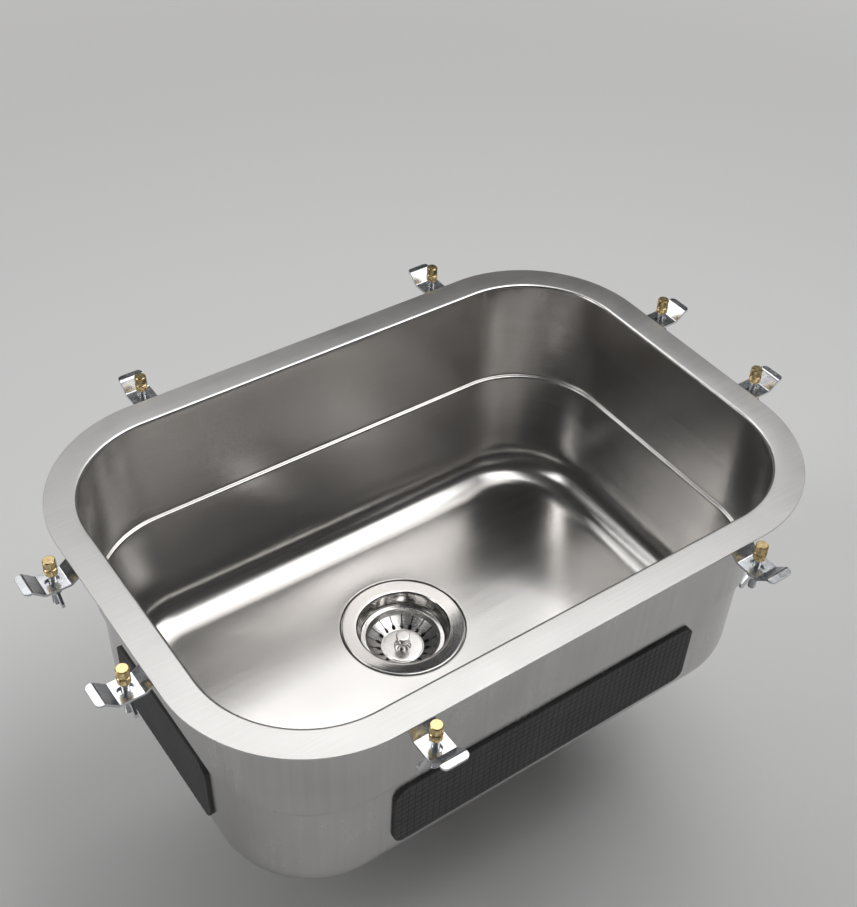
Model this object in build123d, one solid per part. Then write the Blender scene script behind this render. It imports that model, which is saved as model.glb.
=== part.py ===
from build123d import *
import math
import os

# Undermount kitchen sink: a pressed bowl, its basket strainer waste and its fixing clips.
# Millimetres. The origin is the centre of the bowl's opening, in the plane of the flange's
# top face. X runs along the bowl's long side, Y to its back and Z up.

# Bowl opening, measured where the flange starts to turn down
OPENING_LENGTH = 524.0
OPENING_WIDTH = 355.0
OPENING_CORNER = 92.0
FLANGE_WIDTH = 23.0

# Sheet and wall: one pressing in stainless sheet, drafted so that it leaves the die
SHEET = 1.2
RIM_BEND = 3.0
WALL_DRAFT = 1.0
LEDGE_DEPTH = 105.0
LEDGE_WIDTH = 4.0
LEDGE_FOOT_RADIUS = 1.5
LEDGE_NOSE_RADIUS = 2.2

# Floor: it falls from the foot of the walls to the waste, which stands towards the back
FLOOR_DEPTH = 222.0
FLOOR_RADIUS = 35.0
DRAIN_DEPTH = 224.0
DRAIN_Y = 34.0
DRAIN_HOLE = 45.0

# Waste: a 90 mm basket strainer. Radii, and depths below the top of its flange
FLANGE_RADIUS = 57.0
FLANGE_THICK = 1.5
SEAL_THICK = 1.0
RECESS_CLEARANCE = 1.2
RECESS_DEPTH = FLANGE_THICK + SEAL_THICK
MOUTH_RADIUS = 42.3
CUP_THREAD_RADIUS = 43.8
SHELF_DEPTH = 15.5
SEAT_DEPTH = 38.0
SPIGOT_RADIUS = 24.0
SPIGOT_END = 60.0
HUB_BORE = 5.5
TAIL_RADIUS = 19.0
TAIL_LENGTH = 104.0

# Basket and its stem
BASKET_SHEET = 0.7
BASKET_RIM_RADIUS = 38.2
BASKET_RADIUS = 33.2
BASKET_BASE_DEPTH = 27.5
KEYHOLES = 18
FIRST_KEYHOLE = -2.0
KNOB_RADIUS = 6.5
KNOB_TOP_DEPTH = 13.0
STEM_RADIUS = 3.0
RUNNING_GAP = 0.06
STOPPER_GAP = 0.3

# Fixing clips
CLIP_WIDTH = 22.0
CLIP_SHEET = 2.0
CLIP_LONG_SIDE_X = 150.0
CLIP_SHORT_SIDE_Y = 60.0
STUD_RADIUS = 3.0
STUD_OFFSET = 15.0
ANCHOR_RADIUS = 5.0
ANCHOR_LENGTH = 14.0
ANCHOR_THREAD = 6.3

PAD_THICK = 3.0

WASTE = Pos(0, DRAIN_Y, -DRAIN_DEPTH)
pieces = {}


def outline(inset, height):
    """Rounded rectangle that follows the opening, drawn in by inset, at a height."""
    sketch = RectangleRounded(
        OPENING_LENGTH - 2 * inset,
        OPENING_WIDTH - 2 * inset,
        OPENING_CORNER - inset,
    )
    return Plane.XY.offset(height) * sketch


def draft_at(depth):
    return depth * math.tan(math.radians(WALL_DRAFT))


def turned(*corners):
    """Solid turned about the waste's axis. Each corner is (radius, depth, rounding)."""
    points = [(radius, -depth) for radius, depth, rounding in corners]
    roundings = [rounding for radius, depth, rounding in corners]
    profile = Plane.XZ * make_face(FilletPolyline(*points, radius=roundings, close=True))
    return WASTE * revolve(profile, Axis.Z)


def ring(inner, outer, top, bottom):
    """Plain turned ring of the waste, between two depths."""
    return turned((inner, top, 0), (outer, top, 0), (outer, bottom, 0), (inner, bottom, 0))


# Bowl


def floor_fall(grow):
    """Gentle fall of the floor, ruled from the foot of the fillet to the waste's recess."""
    inset = RIM_BEND + LEDGE_WIDTH + draft_at(FLOOR_DEPTH) + FLOOR_RADIUS
    top = outline(inset, -FLOOR_DEPTH - grow)
    radius = FLANGE_RADIUS + RECESS_CLEARANCE + SHEET
    centre = Vector(0, DRAIN_Y, -DRAIN_DEPTH - grow)

    # The circle is split where the outline's four sides and four corners face it
    side_half_angle = 14
    turns = []
    for quarter in range(4):
        middle = 90 * quarter
        turns += [middle - side_half_angle, middle + side_half_angle]
    turns.append(turns[0] + 360)

    def on_circle(degrees):
        return centre + Vector(radius, 0, 0).rotate(Axis.Z, degrees)

    arcs = []
    for start, end in zip(turns, turns[1:]):
        arcs.append(ThreePointArc(on_circle(start), on_circle((start + end) / 2), on_circle(end)))
    return loft([top.face(), Face(Wire(arcs))], ruled=True)


def lower_form(grow):
    """Solid inside the lower wall and the floor, grown by grow on every side."""
    wall = outline(RIM_BEND + LEDGE_WIDTH - grow, 0)
    form = extrude(wall, amount=-(FLOOR_DEPTH + grow), taper=WALL_DRAFT)
    foot = form.faces().sort_by(Axis.Z)[0].edges()
    form = fillet(foot, FLOOR_RADIUS + grow)
    return form + floor_fall(grow)


def bowl_form(grow):
    """Solid inside the whole bowl: 0 gives its inner face, SHEET its outer one."""
    ledge_height = -LEDGE_DEPTH - grow
    upper = extrude(outline(RIM_BEND - grow, 0), amount=ledge_height, taper=WALL_DRAFT)
    form = upper + lower_form(grow)

    def ledge():
        return [f for f in form.faces() if abs(f.center().Z - ledge_height) < 0.001][0]

    form = fillet(ledge().outer_wire().edges(), LEDGE_FOOT_RADIUS + grow)
    form = fillet(ledge().inner_wires()[0].edges(), LEDGE_NOSE_RADIUS - grow)

    recess_depth = RECESS_DEPTH + grow
    recess = Cylinder(
        FLANGE_RADIUS + RECESS_CLEARANCE + grow,
        recess_depth,
        align=(Align.CENTER, Align.CENTER, Align.MAX),
    )
    return form + WASTE * recess


def bowl():
    """Flange, rim bend, ledged wall, falling floor and recess, all one sheet."""
    plate = extrude(outline(-FLANGE_WIDTH, 0), amount=-SHEET)
    shell = plate + bowl_form(SHEET) - bowl_form(0)
    shell -= WASTE * Cylinder(DRAIN_HOLE, 4 * RECESS_DEPTH)

    top = shell.faces().sort_by(Axis.Z)[-1]
    shell = fillet(top.inner_wires()[0].edges(), RIM_BEND)
    underside = [f for f in shell.faces() if abs(f.center().Z + SHEET) < 0.001]
    underside = sorted(underside, key=lambda face: face.area)[-1]
    return fillet(underside.inner_wires()[0].edges(), RIM_BEND - SHEET)


pieces["bowl"] = bowl()


# Damping pads: rubber sheets glued outside the lower walls and under the floor


def sound_pads():
    """Pads of one thickness, cut from a layer that follows the bowl's outer face."""
    layer = lower_form(SHEET + PAD_THICK) - lower_form(SHEET)
    corner = 12
    wall_top = LEDGE_DEPTH + 14
    wall_bottom = FLOOR_DEPTH - FLOOR_RADIUS
    wall_height = wall_bottom - wall_top
    wall_middle = -(wall_top + wall_bottom) / 2
    front_length = 300
    side_length = 150
    half_length = OPENING_LENGTH / 2
    half_width = OPENING_WIDTH / 2

    front_window = extrude(
        Plane.XZ * RectangleRounded(front_length, wall_height, corner), amount=half_width
    )
    side_window = extrude(
        Plane.YZ * RectangleRounded(side_length, wall_height, corner), amount=half_length
    )
    pads = {}
    pads["sound_pad_front"] = layer & Pos(0, 0, wall_middle) * front_window
    pads["sound_pad_back"] = layer & Pos(0, half_width, wall_middle) * front_window
    pads["sound_pad_right"] = layer & Pos(0, 0, wall_middle) * side_window
    pads["sound_pad_left"] = layer & Pos(-half_length, 0, wall_middle) * side_window

    floor_length = 125
    floor_width = 190
    floor_middle = 140
    floor_window = extrude(RectangleRounded(floor_length, floor_width, corner), amount=-FLOOR_DEPTH)
    for name, side in (("left", -1), ("right", 1)):
        window = Pos(side * floor_middle, 0, -FLOOR_DEPTH / 2) * floor_window
        pads["sound_pad_floor_" + name] = layer & window
    return pads


pieces.update(sound_pads())


# Strainer cup: it hangs by its flange in the recess and is drawn down by the locknut

CUP_THREAD_END = 18.0
SHELF_OUTER = 39.4
SHELF_INNER = 35.6
CUP_FOOT_RADIUS = 34.0
CUP_WALL = 1.8
BOTTOM_THICK = 2.0
SPIGOT_WALL = 2.4
HUB_RADIUS = 7.5
HUB_END = 50.0


def strainer_body():
    """Stepped cup with a flange above, a hub and outlet below and windows in its bottom."""
    under = SEAT_DEPTH + BOTTOM_THICK
    spigot_inner = SPIGOT_RADIUS - SPIGOT_WALL
    mouth_dip = 0.5
    mouth_roll = 2.2
    body = turned(
        (FLANGE_RADIUS, 0, 0.9),
        (MOUTH_RADIUS, mouth_dip, mouth_roll),
        (SHELF_OUTER, SHELF_DEPTH, 0.8),
        (SHELF_INNER, SHELF_DEPTH, 0.8),
        (CUP_FOOT_RADIUS, SEAT_DEPTH, 6),
        (HUB_BORE, SEAT_DEPTH, 0),
        (HUB_BORE, HUB_END, 0),
        (HUB_RADIUS, HUB_END, 0),
        (HUB_RADIUS, under, 0),
        (spigot_inner, under, 0),
        (spigot_inner, SPIGOT_END, 0),
        (SPIGOT_RADIUS, SPIGOT_END, 0),
        (SPIGOT_RADIUS, under, 0),
        (CUP_FOOT_RADIUS + CUP_WALL, under, 7),
        (SHELF_INNER + CUP_WALL, CUP_THREAD_END + 2, 0),
        (CUP_THREAD_RADIUS, CUP_THREAD_END, 0),
        (CUP_THREAD_RADIUS, FLANGE_THICK, 0),
        (FLANGE_RADIUS, FLANGE_THICK, 0),
    )
    window_inner = HUB_RADIUS + 1
    window_outer = spigot_inner - 1
    arm_width = 5
    windows = ring(window_inner, window_outer, SEAT_DEPTH - 1, under + 1)
    for turn in (45, 135):
        arm = Rot(0, 0, turn) * Box(2 * window_outer, arm_width, 4 * BOTTOM_THICK)
        windows -= WASTE * Pos(0, 0, -SEAT_DEPTH) * arm
    return body - windows


pieces["strainer_body"] = strainer_body()


# Seals and nuts of the waste, stacked under the flange and under the bowl's recess

GASKET_TOP = RECESS_DEPTH + SHEET
GASKET_THICK = 4.0
FRICTION_THICK = 1.0
FRICTION_TOP = GASKET_TOP + GASKET_THICK
NUT_TOP = FRICTION_TOP + FRICTION_THICK
GASKET_BORE = CUP_THREAD_RADIUS + 0.3

pieces["flange_seal"] = ring(DRAIN_HOLE + 0.5, FLANGE_RADIUS - 1, FLANGE_THICK, RECESS_DEPTH)
pieces["under_gasket"] = ring(GASKET_BORE, FLANGE_RADIUS, GASKET_TOP, FRICTION_TOP)
pieces["friction_washer"] = ring(GASKET_BORE, FLANGE_RADIUS - 1, FRICTION_TOP, NUT_TOP)


def locknut():
    """Large cast nut: a bearing collar and a ring with lugs for the wrench."""
    collar_thick = 2.5
    nut_bottom = CUP_THREAD_END - 0.3
    collar_radius = FLANGE_RADIUS - 2
    barrel_radius = collar_radius - 6
    nut = ring(CUP_THREAD_RADIUS, collar_radius, NUT_TOP, NUT_TOP + collar_thick)
    nut += ring(CUP_THREAD_RADIUS, barrel_radius, NUT_TOP, nut_bottom)
    lug_count = 8
    lug_width = 7
    lug_height = nut_bottom - NUT_TOP
    lug = Box(8, lug_width, lug_height, align=(Align.MAX, Align.CENTER, Align.MAX))
    lug = chamfer(lug.edges().filter_by(Axis.Z).group_by(Axis.X)[-1], 1.5)
    for number in range(lug_count):
        turn = Rot(0, 0, number * 360 / lug_count)
        nut += WASTE * turn * Pos(collar_radius, 0, -NUT_TOP) * lug
    return nut - ring(0, CUP_THREAD_RADIUS, NUT_TOP - 1, nut_bottom + 1)


pieces["locknut"] = locknut()


# Outlet: flanged tailpiece, held to the cup's spigot by a coupling nut

WASHER_THICK = 1.5
WASHER_END = SPIGOT_END + WASHER_THICK
TAIL_FLANGE_THICK = 1.5
TAIL_WALL = 1.0
TAIL_END = SPIGOT_END + TAIL_LENGTH
BEAD_TOP = 72.0
BEAD_HEIGHT = 4.0
BEAD_STAND = 1.8

pieces["tailpiece_washer"] = ring(TAIL_RADIUS - 0.4, SPIGOT_RADIUS - 0.5, SPIGOT_END, WASHER_END)


def tailpiece():
    """Drawn tube with a turned-out flange above and a stop bead below the nut."""
    flange_end = WASHER_END + TAIL_FLANGE_THICK
    bead_middle = BEAD_TOP + BEAD_HEIGHT / 2
    return turned(
        (TAIL_RADIUS - TAIL_WALL, WASHER_END, 0.8),
        (SPIGOT_RADIUS - 0.5, WASHER_END, 0),
        (SPIGOT_RADIUS - 0.5, flange_end, 0),
        (TAIL_RADIUS, flange_end, 0),
        (TAIL_RADIUS, BEAD_TOP, 0),
        (TAIL_RADIUS + BEAD_STAND, bead_middle, 1.2),
        (TAIL_RADIUS, BEAD_TOP + BEAD_HEIGHT, 0),
        (TAIL_RADIUS, TAIL_END, 0),
        (TAIL_RADIUS - TAIL_WALL, TAIL_END, 0),
    )


pieces["tailpiece"] = tailpiece()


def coupling_nut():
    """Ribbed nut: threaded over the spigot, with a shoulder under the tailpiece's flange."""
    nut_top = 46
    shoulder = WASHER_END + TAIL_FLANGE_THICK
    nut_end = shoulder + 3
    outer = SPIGOT_RADIUS + 3.5
    nut = turned(
        (SPIGOT_RADIUS, nut_top, 0),
        (outer, nut_top, 0),
        (outer, nut_end - 2, 0),
        (outer - 3, nut_end, 0),
        (TAIL_RADIUS + 0.3, nut_end, 0),
        (TAIL_RADIUS + 0.3, shoulder, 0),
        (SPIGOT_RADIUS, shoulder, 0),
    )
    rib_count = 12
    rib_width = 3
    rib_height = nut_end - nut_top - 4
    rib = Box(3, rib_width, rib_height, align=(Align.CENTER, Align.CENTER, Align.MAX))
    rib = chamfer(rib.edges().filter_by(Axis.Z).group_by(Axis.X)[-1], 0.8)
    for number in range(rib_count):
        turn = Rot(0, 0, number * 360 / rib_count)
        nut += WASTE * turn * Pos(outer, 0, -nut_top - 1) * rib
    return nut


pieces["coupling_nut"] = coupling_nut()


# Basket: pressed shell with keyhole slots, turning freely on the stem below its knob

SHELL_HOLE = STEM_RADIUS + RUNNING_GAP
RIM_DEPTH = SHELF_DEPTH - STOPPER_GAP - BASKET_SHEET


def basket_shell():
    """Rim, steep wall, rounded foot and stepped base, with 18 keyholes cut through."""
    foot_radius = BASKET_RADIUS - 1.7
    foot_rounding = 12.6
    step_depth = BASKET_BASE_DEPTH + 0.5
    step_radius = 19.2
    skin = BASKET_SHEET
    shell = turned(
        (BASKET_RIM_RADIUS, RIM_DEPTH, 0),
        (BASKET_RADIUS, RIM_DEPTH, 1.2),
        (foot_radius, step_depth, foot_rounding),
        (step_radius, step_depth, 0),
        (step_radius - 0.8, BASKET_BASE_DEPTH, 0),
        (SHELL_HOLE, BASKET_BASE_DEPTH, 0),
        (SHELL_HOLE, BASKET_BASE_DEPTH + skin, 0),
        (step_radius - 1.2, BASKET_BASE_DEPTH + skin, 0),
        (step_radius - 0.4, step_depth + skin, 0),
        (foot_radius + skin, step_depth + skin, foot_rounding + skin),
        (BASKET_RADIUS + skin, RIM_DEPTH + skin, 0.5),
        (BASKET_RIM_RADIUS, RIM_DEPTH + skin, 0),
    )
    eye_radius = 1.6
    eye_at = 22.2
    slot_width = 1.0
    slot_top = RIM_DEPTH + 2.6
    slot_length = BASKET_RADIUS + 2 - eye_at
    slot_height = step_depth + 2 - slot_top
    low = (Align.MIN, Align.CENTER, Align.MAX)
    slot = Pos(eye_at, 0, -slot_top) * Box(slot_length, slot_width, slot_height, align=low)
    eye = Pos(eye_at, 0, -slot_top) * Cylinder(
        eye_radius, slot_height, align=(Align.CENTER, Align.CENTER, Align.MAX)
    )
    keyhole = slot + eye
    for number in range(KEYHOLES):
        shell -= WASTE * Rot(0, 0, FIRST_KEYHOLE + number * 360 / KEYHOLES) * keyhole
    return shell


pieces["basket_shell"] = basket_shell()


# Stem assembly: what lifts by the knob, from the knob down to the clip under the stopper

STEM_SHOULDER = BASKET_BASE_DEPTH - 0.2
STEM_SCREW_RADIUS = 2.4
STEM_SCREW_TOP = 19.0
STEM_END = 54.0
COLLAR_TOP = BASKET_BASE_DEPTH + BASKET_SHEET + 0.2
STOPPER_TOP = COLLAR_TOP + 2.2
STOPPER_HUB_END = STOPPER_TOP + 3.4
PLATE_END = STOPPER_HUB_END + 1
CLIP_END = PLATE_END + 1
CLIP_GROOVE_RADIUS = 2.3


def basket_knob():
    """Turned post: flat head, waisted neck and a foot that spreads over the base."""
    head_thick = 3.0
    neck_radius = 3.9
    foot_radius = 8.2
    return turned(
        (0, KNOB_TOP_DEPTH, 0),
        (KNOB_RADIUS, KNOB_TOP_DEPTH, 0.7),
        (KNOB_RADIUS, KNOB_TOP_DEPTH + head_thick, 1),
        (neck_radius, KNOB_TOP_DEPTH + head_thick + 1.2, 1.2),
        (neck_radius, STEM_SHOULDER - 4.5, 4),
        (foot_radius, STEM_SHOULDER - 0.8, 0),
        (foot_radius, STEM_SHOULDER, 0),
        (STEM_SCREW_RADIUS, STEM_SHOULDER, 0),
        (STEM_SCREW_RADIUS, STEM_SCREW_TOP, 0),
        (0, STEM_SCREW_TOP, 0),
    )


def basket_stem():
    """Rod screwed into the knob, grooved for its clip and for the guide bush."""
    detent_depth = 44
    detent_half = 1.5
    detent_cut = 0.6
    return turned(
        (0, STEM_SCREW_TOP, 0),
        (STEM_SCREW_RADIUS, STEM_SCREW_TOP, 0),
        (STEM_SCREW_RADIUS, STEM_SHOULDER, 0),
        (STEM_RADIUS, STEM_SHOULDER, 0),
        (STEM_RADIUS, PLATE_END, 0),
        (CLIP_GROOVE_RADIUS, PLATE_END, 0),
        (CLIP_GROOVE_RADIUS, CLIP_END, 0),
        (STEM_RADIUS, CLIP_END, 0),
        (STEM_RADIUS, detent_depth - detent_half, 0),
        (STEM_RADIUS - detent_cut, detent_depth, 0),
        (STEM_RADIUS, detent_depth + detent_half, 0),
        (STEM_RADIUS, STEM_END, 1.6),
        (0, STEM_END, 0),
    )


def stopper():
    """Rubber bell: a hub gripped on the stem and a lip that closes on the cup's bottom."""
    hub_radius = 11
    lip_radius = 28
    lip_thick = 1.8
    lip_end = SEAT_DEPTH - STOPPER_GAP
    return turned(
        (STEM_RADIUS, STOPPER_TOP, 0),
        (hub_radius, STOPPER_TOP, 1),
        (lip_radius, lip_end - lip_thick, 0.8),
        (lip_radius, lip_end, 0),
        (lip_radius - 4, lip_end, 0),
        (hub_radius + 1, STOPPER_HUB_END, 0),
        (STEM_RADIUS, STOPPER_HUB_END, 0),
    )


pieces["basket_knob"] = basket_knob()
pieces["basket_stem"] = basket_stem()
pieces["stem_collar"] = ring(STEM_RADIUS, 8, COLLAR_TOP, STOPPER_TOP)
pieces["stopper"] = stopper()
pieces["stopper_plate"] = ring(STEM_RADIUS, 9, STOPPER_HUB_END, PLATE_END)


def stem_clip():
    """Open spring ring in the stem's groove."""
    ring_radius = 5
    opening = Box(2 * ring_radius, 3, 4, align=(Align.MIN, Align.CENTER, Align.CENTER))
    clip = ring(CLIP_GROOVE_RADIUS, ring_radius, PLATE_END, CLIP_END)
    return clip - WASTE * Pos(0, 0, -PLATE_END) * opening


pieces["stem_clip"] = stem_clip()


def guide_bush():
    """Collared plastic bush pressed into the cup's hub; the stem slides in it."""
    bore = STEM_RADIUS + RUNNING_GAP
    collar_top = SEAT_DEPTH - 0.8
    return turned(
        (bore, collar_top, 0),
        (HUB_RADIUS - 0.5, collar_top, 0),
        (HUB_RADIUS - 0.5, SEAT_DEPTH, 0),
        (HUB_BORE, SEAT_DEPTH, 0),
        (HUB_BORE, HUB_END + 1, 0),
        (bore, HUB_END + 1, 0),
    )


pieces["guide_bush"] = guide_bush()


# Fixing: clips that hold the flange up from below, each with its stud, washer and wing nut

CLIP_DROP = 8.0
HALF_LENGTH = OPENING_LENGTH / 2 + FLANGE_WIDTH
HALF_WIDTH = OPENING_WIDTH / 2 + FLANGE_WIDTH


def clip_places():
    """Places at the flange's outer edge, with +X of each pointing away from the bowl."""
    places = []
    for x in (-CLIP_LONG_SIDE_X, CLIP_LONG_SIDE_X):
        places.append(Pos(x, -HALF_WIDTH, 0) * Rot(0, 0, -90))
    for y in (-CLIP_SHORT_SIDE_Y, CLIP_SHORT_SIDE_Y):
        places.append(Pos(HALF_LENGTH, y, 0))
    for x in (CLIP_LONG_SIDE_X, -CLIP_LONG_SIDE_X):
        places.append(Pos(x, HALF_WIDTH, 0) * Rot(0, 0, 90))
    for y in (CLIP_SHORT_SIDE_Y, -CLIP_SHORT_SIDE_Y):
        places.append(Pos(-HALF_LENGTH, y, 0) * Rot(0, 0, 180))
    return places


def clip_bracket():
    """Bent strip: a foot under the flange, a sunk middle for the stud and a heel."""
    half = CLIP_SHEET / 2
    foot = -SHEET - half
    middle = -CLIP_DROP - half
    heel = -half
    path = FilletPolyline(
        (-15, 0, foot),
        (-4, 0, foot),
        (5, 0, middle),
        (25, 0, middle),
        (34, 0, heel),
        (40, 0, heel),
        radius=[2.5, 2.5, 2.5, 2.5],
    )
    section = Plane(origin=path @ 0, x_dir=(0, 1, 0), z_dir=path % 0)
    strip = sweep(section * Rectangle(CLIP_WIDTH, CLIP_SHEET), path=path)
    slot = extrude(SlotOverall(13, 2 * STUD_RADIUS + 0.6), amount=-3 * CLIP_DROP)
    strip -= Pos(STUD_OFFSET, 0, 0) * slot
    heel_corners = strip.edges().filter_by(Axis.Z).group_by(Axis.X)[-1]
    return fillet(heel_corners, 4)


def wing_nut():
    """Hub with two ears that spread and hang below it; its bearing face is at z = 0."""
    hub = Cylinder(5.5, 7, align=(Align.CENTER, Align.CENTER, Align.MAX))
    ear_outline = FilletPolyline(
        (3, -1.5),
        (8, -3),
        (15, -11),
        (13, -16),
        (4, -6.8),
        radius=[0, 4, 3, 2, 0],
        close=True,
    )
    ear = extrude(Plane.XZ * make_face(ear_outline), amount=1.1, both=True)
    nut = hub + ear + ear.mirror(Plane.YZ)
    return nut - Cylinder(STUD_RADIUS, 40)


def fixings():
    """Eight of each fixing piece, the small ones grouped as separate solids."""
    bracket = clip_bracket()
    middle_bottom = -CLIP_DROP - CLIP_SHEET
    washer_thick = 1.5
    stud_bottom = -32
    washer = Cylinder(8, washer_thick) - Cylinder(STUD_RADIUS + 0.2, 2 * washer_thick)
    washer = Pos(0, 0, middle_bottom - washer_thick / 2) * washer
    nut = Pos(0, 0, middle_bottom - washer_thick) * Rot(0, 0, 90) * wing_nut()
    stud = Cylinder(
        STUD_RADIUS, ANCHOR_THREAD - stud_bottom, align=(Align.CENTER, Align.CENTER, Align.MIN)
    )
    stud = Pos(0, 0, stud_bottom) * chamfer(stud.edges().group_by(Axis.Z)[0], 0.6)

    # An anchor is threaded in its lower half; the plug that spreads it fills the upper half
    anchor = Cylinder(
        ANCHOR_RADIUS, ANCHOR_LENGTH, align=(Align.CENTER, Align.CENTER, Align.MIN)
    )
    anchor -= Cylinder(STUD_RADIUS, 2 * ANCHOR_THREAD)

    groups = {"clip_studs": stud, "clip_washers": washer, "clip_wing_nuts": nut}
    groups["stud_anchors"] = anchor
    made = {}
    places = clip_places()
    for number, place in enumerate(places, start=1):
        made["clip_bracket_" + str(number)] = place * bracket
    for name, solid in groups.items():
        copies = [place * Pos(STUD_OFFSET, 0, 0) * solid for place in places]
        made[name] = Compound(children=[Solid(copy.solid().wrapped) for copy in copies])
    return made


pieces.update(fixings())

os.makedirs("parts", exist_ok=True)
for name, piece in pieces.items():
    export_step(piece, "parts/" + name + ".step")
    print(name, round(piece.volume))
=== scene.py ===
import math

import bmesh
import bpy
from mathutils import Matrix, Vector
from mathutils.bvhtree import BVHTree


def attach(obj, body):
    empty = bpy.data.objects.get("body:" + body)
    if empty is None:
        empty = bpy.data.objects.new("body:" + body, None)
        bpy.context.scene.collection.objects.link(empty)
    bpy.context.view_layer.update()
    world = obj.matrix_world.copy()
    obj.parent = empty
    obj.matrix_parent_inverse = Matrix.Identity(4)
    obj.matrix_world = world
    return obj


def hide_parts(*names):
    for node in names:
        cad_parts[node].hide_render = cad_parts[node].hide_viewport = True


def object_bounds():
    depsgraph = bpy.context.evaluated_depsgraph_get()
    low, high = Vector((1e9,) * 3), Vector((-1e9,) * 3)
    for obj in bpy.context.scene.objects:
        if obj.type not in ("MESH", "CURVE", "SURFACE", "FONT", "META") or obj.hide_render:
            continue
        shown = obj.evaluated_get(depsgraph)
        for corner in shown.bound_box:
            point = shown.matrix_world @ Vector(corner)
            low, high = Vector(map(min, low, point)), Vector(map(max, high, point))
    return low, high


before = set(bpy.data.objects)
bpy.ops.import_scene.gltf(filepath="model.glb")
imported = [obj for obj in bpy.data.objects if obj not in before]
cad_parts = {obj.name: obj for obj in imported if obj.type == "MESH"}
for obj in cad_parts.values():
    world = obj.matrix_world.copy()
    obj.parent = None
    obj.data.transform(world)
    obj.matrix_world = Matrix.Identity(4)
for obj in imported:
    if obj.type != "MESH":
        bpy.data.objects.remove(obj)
cad_box = [list(corner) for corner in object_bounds()]
mm = 0.001

# Camera
# It stands in front of the sink and to its left, looks down into the bowl and leans a little.
# The lens is wide enough to hold the clips and the whole underside.

eye = Vector((-498.1, -657.3, 758.5)) * mm
heading = math.radians(36.84)
downward = math.radians(42)
lean = math.radians(2.67)
camera_data = bpy.data.cameras.new("camera")
camera_data.lens = 55.5
camera = bpy.data.objects.new("camera", camera_data)
aim = Matrix.Rotation(-heading, 4, "Z") @ Matrix.Rotation(math.pi / 2 - downward, 4, "X")
camera.matrix_world = Matrix.Translation(eye) @ aim @ Matrix.Rotation(lean, 4, "Z")
bpy.context.scene.collection.objects.link(camera)
bpy.context.scene.camera = camera
bpy.context.scene.view_settings.view_transform = "Standard"

# Bowl
# One stainless sheet, drawn over a die: a flange on top, a wall that breaks at a narrow
# ledge, and a floor that falls to the recess of the waste. Its inside is brushed to a satin,
# its flange is ground, and its outside keeps the dull skin that it had when it was rolled.

opening_length = 524 * mm
opening_width = 355 * mm
opening_corner = 92 * mm
flange_width = 23 * mm
sheet = 1.2 * mm
draft = math.tan(math.radians(1))
rim_bend = 3 * mm
ledge_depth = 105 * mm
ledge_width = 4 * mm
floor_depth = 222 * mm
floor_radius = 35 * mm
drain_depth = 224 * mm
drain = Vector((0, 34 * mm))
recess_radius = 58.2 * mm
recess_depth = 2.5 * mm
recess_bend = 0.9 * mm
recess_lead = 2.4 * mm
drain_hole = 45 * mm
arc_step = math.radians(7)
corner_steps = 36
side_steps = 24
floor_steps = 16
sharp_angle = math.radians(30)


def rounded(corners, closed=False, longest=12 * mm):
    """Points along a line of corners (across, up, rounding), each rounding as an arc."""
    line = []
    for number, (across, up, rounding) in enumerate(corners):
        corner = Vector((across, up))
        if not rounding:
            line.append(corner)
            continue
        back = (Vector(corners[number - 1][:2]) - corner).normalized()
        ahead = (Vector(corners[(number + 1) % len(corners)][:2]) - corner).normalized()
        half = back.angle(ahead) / 2
        middle = corner + (back + ahead).normalized() * rounding / math.sin(half)
        first = corner + back * rounding / math.tan(half) - middle
        last = corner + ahead * rounding / math.tan(half) - middle
        steps = math.ceil((math.pi - 2 * half) / arc_step)
        arc = [first.slerp(last, step / steps) * rounding for step in range(steps + 1)]
        line += [middle + point for point in arc]
    filled = [line[0]]
    for point in line[1:] + line[:1] * closed:
        start = filled[-1]
        pieces = max(1, math.ceil((point - start).length / longest - 0.001))
        filled += [start.lerp(point, (piece + 1) / pieces) for piece in range(pieces)]
    return filled[:-1] if closed else filled


def skin_below(line, thickness):
    """The line set off by a thickness, to the right of the way it runs."""
    offset = []
    for number, point in enumerate(line):
        before = line[max(number - 1, 0)]
        after = line[min(number + 1, len(line) - 1)]
        along = (after - before).normalized()
        offset.append(point + Vector((along.y, -along.x)) * thickness)
    return offset


def outline(inset):
    """Points round the opening's outline, drawn in by inset: as many at any inset."""
    corner = opening_corner - inset
    half = (opening_length / 2 - opening_corner, opening_width / 2 - opening_corner)
    points = []
    for quarter, (side_x, side_y) in enumerate(((1, 1), (-1, 1), (-1, -1), (1, -1))):
        centre = Vector((side_x * half[0], side_y * half[1]))
        for step in range(corner_steps):
            angle = (quarter + step / corner_steps) * math.pi / 2
            points.append(centre + Vector((math.cos(angle), math.sin(angle))) * corner)
        turned = (quarter + 1) * math.pi / 2
        start = centre + Vector((math.cos(turned), math.sin(turned))) * corner
        along = Vector((-math.sin(turned), math.cos(turned))) * 2 * half[quarter % 2]
        points += [start + along * step / side_steps for step in range(side_steps)]
    return points


def meshed(name, points, faces):
    """Piece from points and faces, with doubled points joined and sharp edges kept."""
    form = bmesh.new()
    corners = [form.verts.new(point) for point in points]
    for face in faces:
        form.faces.new([corners[number] for number in face])
    bmesh.ops.remove_doubles(form, verts=form.verts, dist=0.001 * mm)
    bmesh.ops.recalc_face_normals(form, faces=form.faces)
    mesh = bpy.data.meshes.new(name)
    form.to_mesh(mesh)
    form.free()
    mesh.shade_smooth()
    mesh.set_sharp_from_angle(angle=sharp_angle)
    piece = bpy.data.objects.new(name, mesh)
    bpy.context.scene.collection.objects.link(piece)
    return piece


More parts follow.
